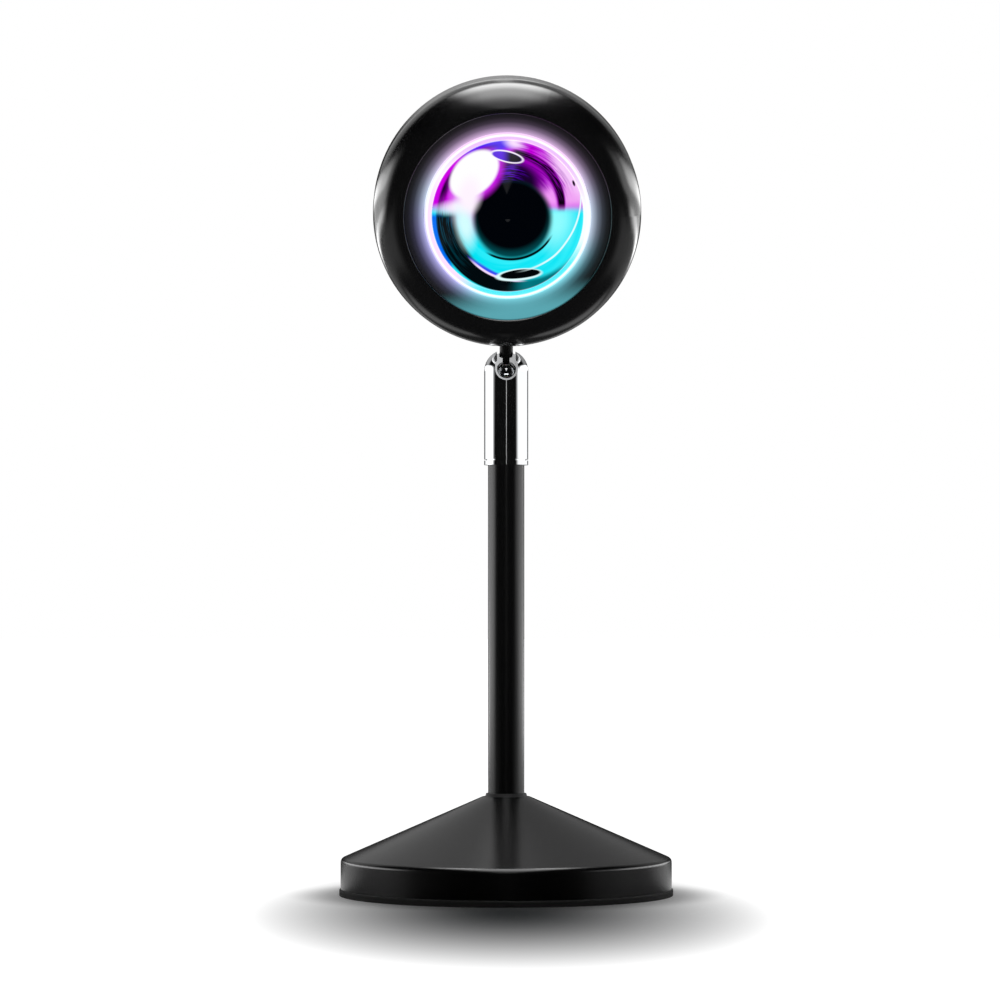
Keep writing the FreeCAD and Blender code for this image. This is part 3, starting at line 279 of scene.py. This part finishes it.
# Radii on the lit rings, in millimetres: the white band on the edge ring, and the painted glow on the inner
# ring.
BAND_INNER_MM = 23.6
BAND_MIDDLE_MM = 23.9
BAND_OUTER_MM = 24.2
PAINTED_GLOW_START_MM = 24.6
PAINTED_GLOW_END_MM = 30.4


def face_plane(tree, slope, depth):
    """Millimetres right of and above the head's axis, on a plane of the given slope."""
    place = add_node(tree, "ShaderNodeTexCoord").outputs["Object"]
    local = add_node(tree, "ShaderNodeMapping", {
        "Vector": place, "Location": head_centre + head_forward * depth,
        "Rotation": [math.pi / 2 + slope, 0, 0], "Scale": [MM, MM, MM]}, vector_type="TEXTURE")
    flat = add_node(tree, "ShaderNodeVectorMath", {
        0: local.outputs["Vector"], 1: [1, 1, 0]}, operation="MULTIPLY")
    return flat.outputs["Vector"]


def oval(tree, plane, centre, size, tilt=0, soft=0.1):
    """1 inside an oval and 0 outside it, with a soft edge given as a share of its size."""
    inside = add_node(tree, "ShaderNodeMapping", {
        "Vector": plane, "Location": [centre[0], centre[1], 0],
        "Rotation": [0, 0, math.radians(tilt)], "Scale": [size[0], size[1], 1]},
        vector_type="TEXTURE")
    length = add_node(tree, "ShaderNodeVectorMath", {0: inside.outputs["Vector"]},
                      operation="LENGTH")
    edge = add_node(tree, "ShaderNodeMapRange", {
        "Value": length.outputs["Value"], "From Min": 1 + soft, "From Max": 1 - soft},
        interpolation_type="SMOOTHSTEP")
    return edge.outputs["Result"]


def disc(tree, plane, radius, soft):
    """1 inside a circle about the middle of the lens."""
    return oval(tree, plane, (0, 0), (radius, radius), 0, soft)


def slope(tree, plane, direction, start, end):
    """0 before start and 1 past end, in millimetres along a direction of the plane."""
    along = add_node(tree, "ShaderNodeVectorMath", {
        0: plane, 1: [direction[0], direction[1], 0]}, operation="DOT_PRODUCT")
    edge = add_node(tree, "ShaderNodeMapRange", {
        "Value": along.outputs["Value"], "From Min": start, "From Max": end},
        interpolation_type="SMOOTHSTEP")
    return edge.outputs["Result"]


def outside(tree, mask):
    return add_node(tree, "ShaderNodeMath", {0: 1.0, 1: mask},
                    operation="SUBTRACT").outputs["Value"]


def overlap(tree, masks):
    """Where all the masks are 1."""
    result = masks[0]
    for mask in masks[1:]:
        result = add_node(tree, "ShaderNodeMath", {0: result, 1: mask},
                          operation="MULTIPLY").outputs["Value"]
    return result


def layer(tree, below, colour, mask):
    """A colour laid over what is below it, where the mask is 1."""
    mix = add_node(tree, "ShaderNodeMix", {
        "Factor": mask, "A": below, "B": linear(colour)}, data_type="RGBA")
    return mix.outputs["Result"]


def arc_streaks(tree, plane, density, low, high):
    """Streaks drawn out along circles about the middle of the lens."""
    radius = add_node(tree, "ShaderNodeVectorMath", {0: plane}, operation="LENGTH")
    parts = add_node(tree, "ShaderNodeSeparateXYZ", {"Vector": plane})
    turn = add_node(tree, "ShaderNodeMath", {0: parts.outputs["Y"], 1: parts.outputs["X"]},
                    operation="ARCTAN2")
    polar = add_node(tree, "ShaderNodeCombineXYZ", {
        "X": radius.outputs["Value"], "Y": turn.outputs["Value"]})
    noise = add_node(tree, "ShaderNodeTexNoise", {
        "Vector": polar.outputs["Vector"], "Scale": density, "Detail": 2.0, "Roughness": 0.6})
    streak = add_node(tree, "ShaderNodeMapRange", {
        "Value": noise.outputs["Fac"], "From Min": low, "From Max": high})
    return streak.outputs["Result"]


def lens_colours(tree):
    """The lamp's light as it shows in the lens, with a painted softbox reflection, bent a little as by
    uneven glass.
    """
    plane = face_plane(tree, PICTURE_SLOPE, LENS_RIM_DEPTH)
    swirl = add_node(tree, "ShaderNodeTexNoise", {
        "Vector": plane, "Scale": 0.07, "Detail": 0.0, "Roughness": 0.5})
    shift = add_node(tree, "ShaderNodeVectorMath", {
        0: swirl.outputs["Color"], 1: [0.5, 0.5, 0.5]}, operation="SUBTRACT")
    bend = add_node(tree, "ShaderNodeVectorMath", {
        0: shift.outputs["Vector"], "Scale": 0.45}, operation="SCALE")
    bent = add_node(tree, "ShaderNodeVectorMath", {0: plane, 1: bend.outputs["Vector"]},
                    operation="ADD").outputs["Vector"]
    streaks = {"streaks": arc_streaks(tree, bent, 1.1, 0.38, 0.62),
               "thin streaks": arc_streaks(tree, bent, 2.2, 0.48, 0.62)}
    broad = arc_streaks(tree, bent, 0.5, 0.35, 0.75)
    light = layer(tree, linear("#00E4F4"), "#3CF4FF", broad)
    for colour, *shapes in LENS_LAYERS:
        masks = []
        for kind, *values in shapes:
            if kind == "oval":
                masks.append(oval(tree, bent, *values))
            elif kind == "outside":
                masks.append(outside(tree, oval(tree, bent, *values)))
            elif kind == "slope":
                masks.append(slope(tree, bent, *values))
            else:
                masks.append(streaks[kind])
        light = layer(tree, light, colour, overlap(tree, masks))
    # A bright edge all round, where the glass meets its ring.
    rim = face_plane(tree, lean, LENS_RIM_DEPTH)
    edge = outside(tree, disc(tree, rim, LENS_RADIUS_MM, 0.014))
    return layer(tree, light, "#F2F0FF", edge)


def lit_lens():
    """Crown glass with a coat against glare: the colours glow and a faint shine lies on them."""
    material, tree, shader = new_material(
        "lit_lens", Base_Color=linear("#020204"), IOR=1.52, Roughness=0.06,
        Specular_IOR_Level=0.2, Emission_Strength=1.0)
    tree.links.new(lens_colours(tree), shader.inputs["Emission Color"])
    return material


def glowing_ring():
    """Frosted white silicone, lit from within: white, with the light's tints in it."""
    material, tree, shader = new_material(
        "glowing_ring", Base_Color=linear("#77777C"), IOR=1.42, Roughness=0.5,
        Emission_Strength=1.0)
    plane = face_plane(tree, lean, LENS_RIM_DEPTH)
    inner = layer(tree, linear("#EEF4FF"), "#E0B0FA", slope(tree, plane, (0.2, 1), 6, 20))
    inner = layer(tree, inner, "#F8D4FF", slope(tree, plane, (-1, -0.4), 10, 22))
    inner = layer(tree, inner, "#28E8FA", slope(tree, plane, (0.3, -1), 12, 20))
    outer = layer(tree, linear("#E4ECFA"), "#F2CCF6", slope(tree, plane, (0.1, 1), 4, 20))
    outer = layer(tree, outer, "#D0C4FA", slope(tree, plane, (-0.8, -0.6), 14, 24))
    outer = layer(tree, outer, "#A8F0FA", slope(tree, plane, (0.3, -1), 14, 24))
    band = overlap(tree, [disc(tree, plane, BAND_OUTER_MM, 0.01),
                          outside(tree, disc(tree, plane, BAND_INNER_MM, 0.01))])
    beyond = outside(tree, disc(tree, plane, BAND_MIDDLE_MM, 0.004))
    mixed = add_node(tree, "ShaderNodeMix", {"Factor": beyond, "A": inner, "B": outer},
                     data_type="RGBA")
    tint = layer(tree, mixed.outputs["Result"], "#FFFFFF", band)
    tree.links.new(tint, shader.inputs["Emission Color"])
    return material


def inner_ring_painted_glow():
    """The dark inner ring: moulded black plastic, with the light spilled on it from the lens painted on as a
    glow, white at its inner edge and fading outward.
    """
    material, tree, shader = new_material("inner_ring_painted_glow", IOR=1.46, Roughness=0.55,
                                          Emission_Strength=1.0)
    grain(tree, shader, 0.25, 0.006, (0.48, 0.62), ("#0B0B0C", "#131314"))
    plane = face_plane(tree, lean, LENS_RIM_DEPTH)
    distance = add_node(tree, "ShaderNodeVectorMath", {0: plane}, operation="LENGTH")
    spread = add_node(tree, "ShaderNodeMapRange", {
        "Value": distance.outputs["Value"], "From Min": PAINTED_GLOW_START_MM, "From Max": PAINTED_GLOW_END_MM})
    painted_glow = add_node(tree, "ShaderNodeValToRGB", {"Fac": spread.outputs["Result"]})
    # The painted glow: white at the lens's edge, fading to near black at the ring's outer edge.
    steps = ((0.0, "#F0F0F4"), (0.14, "#C4C4CA"), (0.34, "#808086"), (0.58, "#3E3E42"),
             (0.8, "#19191B"), (1.0, "#050506"))
    while len(painted_glow.color_ramp.elements) < len(steps):
        painted_glow.color_ramp.elements.new(0.5)
    for element, (position, colour) in zip(painted_glow.color_ramp.elements, steps):
        element.position = position
        element.color = linear(colour)
    # Painted tints of the spilled light: pink above, violet at the lower left, cyan below.
    tint = layer(tree, linear("#CFE0F2"), "#EBC4EE", slope(tree, plane, (0.1, 1), 2, 22))
    tint = layer(tree, tint, "#BDB8F4", slope(tree, plane, (-0.8, -0.6), 14, 26))
    tint = layer(tree, tint, "#8FF0FA", slope(tree, plane, (0.35, -1), 12, 26))
    colour = add_node(tree, "ShaderNodeMix", {
        "Factor": 1.0, "A": painted_glow.outputs["Color"], "B": tint},
        data_type="RGBA", blend_type="MULTIPLY")
    # A painted cyan glow, stronger towards the bottom of the ring.
    low = add_node(tree, "ShaderNodeMath", {
        0: slope(tree, plane, (0.12, -1), 20, 29), 1: 0.75}, operation="MULTIPLY")
    lit = layer(tree, colour.outputs["Result"], "#62BAC6", low.outputs["Value"])
    tree.links.new(lit, shader.inputs["Emission Color"])
    return material


# ---------------------------------------------------------------- dressing the nodes

FINISHES = {
    "black_enamel": black_enamel(),
    "black_plastic": matt_moulding(),
    "foot_foam": foot_foam(),
    "polished_chrome": polished_chrome(),
    "black_oxide": black_oxide(),
    "plated_steel": zinc_plate(),
    "brass": turned_brass(),
    "cast_iron": cast_iron(),
    "plain_aluminium": plain_aluminium(),
    "bright_aluminium": polished_chrome(),
    "nylon": natural_nylon(),
    "board_green": solder_resist("board_green", ("#0C3A1C", "#0F4824")),
    "board_white": solder_resist("board_white", ("#D8D8D4", "#E6E6E2")),
    "wire_red": wire_insulation("wire_red", ("#8E1414", "#A51A1A")),
    "wire_black": wire_insulation("wire_black", ("#141414", "#1C1C1C")),
    "black_rubber": wire_insulation("black_rubber", ("#101010", "#181818")),
    "filter_glass": coated_filter(),
    "led_phosphor": chip_phosphor(),
    "lens_glass": lit_lens(),
    "white_silicone": glowing_ring(),
}
FINISHES["lacquered_enamel"] = lacquered_enamel()
NODE_FINISHES = {
    "inner_ring": inner_ring_painted_glow(),
    "socket_plug": FINISHES["polished_chrome"],
    "front_bezel": FINISHES["lacquered_enamel"],
    "rear_housing": FINISHES["lacquered_enamel"],
}

for part in frame["record"]["subparts"]:
    node = nodes[part["node"]]
    node.data.materials.clear()
    node.data.materials.append(
        NODE_FINISHES.get(part["node"]) or FINISHES[part["material_slot"]])


# ---------------------------------------------------------------- stage, light, camera

def smooth(tree, value, start, end, low=0.0, high=1.0):
    """A value that runs smoothly from low at the start to high at the end."""
    ramp = add_node(tree, "ShaderNodeMapRange", {
        "Value": value, "From Min": start, "From Max": end, "To Min": low, "To Max": high},
        interpolation_type="SMOOTHSTEP")
    return ramp.outputs["Result"]


def combined(tree, operation, first, second):
    return add_node(tree, "ShaderNodeMath", {0: first, 1: second},
                    operation=operation).outputs["Value"]


# Strengths of the studio's panels, as mirrored by the lamp; 1 is the white of the backdrop.
LEFT_PANEL = 2.0
RIGHT_PANEL = 1.2
HIGH_PANELS = 4.4
OVERHEAD_FRONT = 4.0
OVERHEAD_FRONT_END = 0.8
OVERHEAD_BACK = 2.6
BACKDROP_LEFT = 0.42
BACKDROP_RIGHT = 0.28
BACK_MIDDLE = 1.0
BACK_STRIP = 0.9
ROOM = 0.004
AMBIENT = 0.02
DARK_SHARE = 0.03
# The floor: its half width, the painted shadow pool's middle and half widths, and the foot's painted contact
# shadow.
FLOOR_REACH = 6.0
PAINTED_SHADOW_MIDDLE = [0, -0.062, 0]
PAINTED_SHADOW_HALF_WIDTHS = [0.073, 0.172, 1]
PAINTED_SHADOW_POWER = 2.2
FLOOR_GLOW = 1.1
PAINTED_CONTACT_START = 0.048
PAINTED_CONTACT_END = 0.068
PAINTED_CONTACT_SHARE = 0.4
# Strengths of the floor as mirrored by the lamp.
NEAR_FLOOR = 0.6
FAR_FLOOR = 5.0
FRONT_FLOOR = 0.3


def make_floor():
    """A plain white floor with a painted shadow pool round the base and a painted contact shadow at the
    foot; brighter away, so it meets the backdrop.
    """
    reach = FLOOR_REACH
    mesh = bpy.data.meshes.new("floor")
    mesh.from_pydata([(-reach, -reach, 0), (reach, -reach, 0), (reach, reach, 0),
                      (-reach, reach, 0)], [], [(0, 1, 2, 3)])
    floor = bpy.data.objects.new("floor", mesh)
    scene.collection.objects.link(floor)
    material, tree, shader = new_material("white_floor", Base_Color=linear("#F2F2F2"),
                                          Roughness=0.9, Specular_IOR_Level=0.0)
    place = add_node(tree, "ShaderNodeTexCoord").outputs["Object"]
    # The floor's white glow is cut away round the base: a painted shadow pool, stretched towards the front,
    # darkest at the foot's painted contact shadow.
    painted_shadow_pool = add_node(tree, "ShaderNodeMapping", {
        "Vector": place, "Location": PAINTED_SHADOW_MIDDLE, "Scale": PAINTED_SHADOW_HALF_WIDTHS},
        vector_type="TEXTURE")
    spread = add_node(tree, "ShaderNodeVectorMath", {0: painted_shadow_pool.outputs["Vector"]},
                      operation="LENGTH").outputs["Value"]
    distance = add_node(tree, "ShaderNodeVectorMath", {0: place},
                        operation="LENGTH").outputs["Value"]
    painted_contact_shadow = smooth(tree, distance, PAINTED_CONTACT_START, PAINTED_CONTACT_END, PAINTED_CONTACT_SHARE, 1.0)
    glow = combined(tree, "MINIMUM", combined(tree, "POWER", spread, PAINTED_SHADOW_POWER), FLOOR_GLOW)
    glow = combined(tree, "MULTIPLY", glow, painted_contact_shadow)
    shader.inputs["Emission Color"].default_value = linear("#FFFFFF")
    tree.links.new(glow, shader.inputs["Emission Strength"])
    # Polished faces mirror only the lit floor at the sides, so they stay dark in front.
    heading = add_node(tree, "ShaderNodeSeparateXYZ", {
        "Vector": add_node(tree, "ShaderNodeVectorMath", {0: place},
                           operation="NORMALIZE").outputs["Vector"]}).outputs["Y"]
    near = combined(tree, "MULTIPLY", smooth(tree, heading, 0.05, 0.4),
                    smooth(tree, heading, 0.6, 0.85, NEAR_FLOOR, DARK_SHARE))
    near = combined(tree, "MULTIPLY", near, smooth(tree, distance, 0.2, 0.3, 1.0, 0.0))
    far = combined(tree, "MULTIPLY", smooth(tree, heading, -0.4, 0.1),
                   smooth(tree, heading, 0.78, 0.93, FAR_FLOOR, DARK_SHARE))
    far = combined(tree, "MULTIPLY", far, smooth(tree, distance, 0.8, 1.6))
    far = combined(tree, "MULTIPLY", far, smooth(tree, distance, 2.2, 3.4, 1.0, 0.35))
    before = combined(tree, "MULTIPLY", smooth(tree, heading, -0.88, -0.55),
                      smooth(tree, distance, 0.24, 0.36))
    before = combined(tree, "MULTIPLY", before, smooth(tree, distance, 0.6, 1.0, FRONT_FLOOR, 0.0))
    lit = combined(tree, "MAXIMUM", combined(tree, "MAXIMUM", near, far), before)
    mirrored = add_node(tree, "ShaderNodeEmission", {"Color": [1, 1, 1, 1], "Strength": lit})
    rays = add_node(tree, "ShaderNodeLightPath")
    mixed = add_node(tree, "ShaderNodeMixShader", {
        0: rays.outputs["Is Glossy Ray"], 1: shader.outputs["BSDF"], 2: mirrored.outputs[0]})
    output = next(node for node in tree.nodes if node.type == "OUTPUT_MATERIAL")
    tree.links.new(mixed.outputs[0], output.inputs["Surface"])
    mesh.materials.append(material)


def make_lights():
    """Soft light from both sides, above and behind; dark in front, so the black stays black."""
    world = bpy.data.worlds.new("studio")
    scene.world = world
    world.use_nodes = True
    tree = world.node_tree
    tree.nodes.clear()
    world.cycles.sampling_method = "NONE"
    direction = add_node(tree, "ShaderNodeTexCoord").outputs["Generated"]
    parts = add_node(tree, "ShaderNodeSeparateXYZ", {"Vector": direction})
    across, away, up = (parts.outputs[axis] for axis in "XYZ")
    flat = add_node(tree, "ShaderNodeVectorMath", {0: direction, 1: [1, 1, 0]},
                    operation="MULTIPLY").outputs["Vector"]
    heading = add_node(tree, "ShaderNodeSeparateXYZ", {
        "Vector": add_node(tree, "ShaderNodeVectorMath", {0: flat},
                           operation="NORMALIZE").outputs["Vector"]})
    ahead = heading.outputs["Y"]
    # The panels lie to the left, to the right and above, with dark gaps between them.
    upright = add_node(tree, "ShaderNodeVectorMath", {0: direction, 1: [1, 0, 1]},
                       operation="MULTIPLY").outputs["Vector"]
    bearing = add_node(tree, "ShaderNodeSeparateXYZ", {
        "Vector": add_node(tree, "ShaderNodeVectorMath", {0: upright},
                           operation="NORMALIZE").outputs["Vector"]})
    level_part = combined(tree, "MULTIPLY", bearing.outputs["X"], bearing.outputs["X"])
    # Level with the lamp the side panels are dim, and higher up they are strong.
    left = combined(tree, "MULTIPLY", smooth(tree, ahead, -0.45, -0.05, 0.0, LEFT_PANEL),
                    smooth(tree, ahead, 0.25, 0.6, 1.0, 0.62))
    right = smooth(tree, ahead, -0.65, -0.35, 0.0, RIGHT_PANEL)
    level = combined(tree, "ADD",
                     combined(tree, "MULTIPLY", left, smooth(tree, across, -0.05, 0.05, 1.0, 0.0)),
                     combined(tree, "MULTIPLY", right, smooth(tree, across, -0.05, 0.05)))
    level = combined(tree, "MULTIPLY", level, smooth(tree, ahead, 0.74, 0.88, 1.0, DARK_SHARE))
    high = combined(tree, "MULTIPLY", smooth(tree, ahead, -0.35, 0.1, 0.0, HIGH_PANELS),
                    smooth(tree, up, 0.05, 0.14))
    high = combined(tree, "MULTIPLY", high, smooth(tree, ahead, 0.86, 0.97, 1.0, DARK_SHARE))
    sides = combined(tree, "MULTIPLY", combined(tree, "MAXIMUM", level, high),
                     smooth(tree, level_part, 0.83, 1.0))
    # Overhead it is brightest, and fades towards the front.
    over = smooth(tree, away, -1.0, -0.5, OVERHEAD_FRONT_END, OVERHEAD_FRONT)
    over = combined(tree, "ADD", over, smooth(tree, away, -0.3, 0.1, 0.0, OVERHEAD_BACK))
    over = combined(tree, "MULTIPLY", over, smooth(tree, away, 0.25, 0.5, 1.0, 0.0))
    over = combined(tree, "MULTIPLY", over, smooth(tree, bearing.outputs["Z"], 0.88, 0.99))
    # Behind it is dim, but for a narrow strip low down and a narrower one above it.
    behind = combined(tree, "MULTIPLY", smooth(tree, away, 0.3, 0.55),
                      smooth(tree, across, -0.2, 0.2, BACKDROP_LEFT, BACKDROP_RIGHT))
    behind = combined(tree, "MULTIPLY", behind, smooth(tree, up, 0.16, 0.3))
    aside = combined(tree, "ABSOLUTE", across, 0)
    middle = combined(tree, "MULTIPLY", smooth(tree, aside, 0.02, 0.08, BACK_MIDDLE, 0.0),
                      smooth(tree, up, 0.5, 0.62))
    middle = combined(tree, "MULTIPLY", middle, smooth(tree, away, 0.3, 0.5))
    behind = combined(tree, "MAXIMUM", behind, middle)
    strip = combined(tree, "MULTIPLY", smooth(tree, aside, 0.08, 0.2, BACK_STRIP, 0.0),
                     smooth(tree, up, 0.3, 0.42))
    strip = combined(tree, "MULTIPLY", strip, smooth(tree, up, 0.52, 0.68, 1.0, 0.0))
    strip = combined(tree, "MULTIPLY", strip, smooth(tree, away, 0.5, 0.7))
    rear = combined(tree, "MAXIMUM", behind, strip)
    shown = combined(tree, "MAXIMUM", combined(tree, "MAXIMUM", sides, over), rear)
    shown = combined(tree, "ADD", shown, ROOM)
    rays = add_node(tree, "ShaderNodeLightPath")
    seen = add_node(tree, "ShaderNodeBackground", {"Color": [1, 1, 1, 1], "Strength": 1.0})
    ambient = add_node(tree, "ShaderNodeBackground", {
        "Color": [1, 1, 1, 1], "Strength": AMBIENT})
    mirrored = add_node(tree, "ShaderNodeBackground", {"Color": [1, 1, 1, 1],
                                                       "Strength": shown})
    soft = add_node(tree, "ShaderNodeMixShader", {
        0: rays.outputs["Is Diffuse Ray"], 1: mirrored.outputs[0], 2: ambient.outputs[0]})
    both_ways = add_node(tree, "ShaderNodeMixShader", {
        0: rays.outputs["Is Camera Ray"], 1: soft.outputs[0], 2: seen.outputs[0]})
    add_node(tree, "ShaderNodeOutputWorld", {"Surface": both_ways.outputs[0]})


def make_camera():
    """Level, in front and a little above the base, at the photograph's framing."""
    distance = 1.2
    height = 0.092
    sensor = 36.0
    frame_pixels = 1000
    pixels_per_mm = 3.33
    axis_pixel = 506.2
    floor_pixel = 894.6
    turn = math.radians(1.0)
    data = bpy.data.cameras.new("camera")
    data.sensor_width = sensor
    data.lens = pixels_per_mm * distance / MM / frame_pixels * sensor
    data.shift_x = (frame_pixels / 2 - axis_pixel) / frame_pixels
    horizon_pixel = floor_pixel - pixels_per_mm * height / MM
    data.shift_y = (horizon_pixel - frame_pixels / 2) / frame_pixels
    camera = bpy.data.objects.new("camera", data)
    camera.location = (-distance * math.sin(turn), -distance * math.cos(turn), height)
    camera.rotation_euler = (math.pi / 2, 0, -turn)
    scene.collection.objects.link(camera)
    scene.camera = camera


make_floor()
make_lights()
make_camera()
scene.view_settings.view_transform = "Standard"
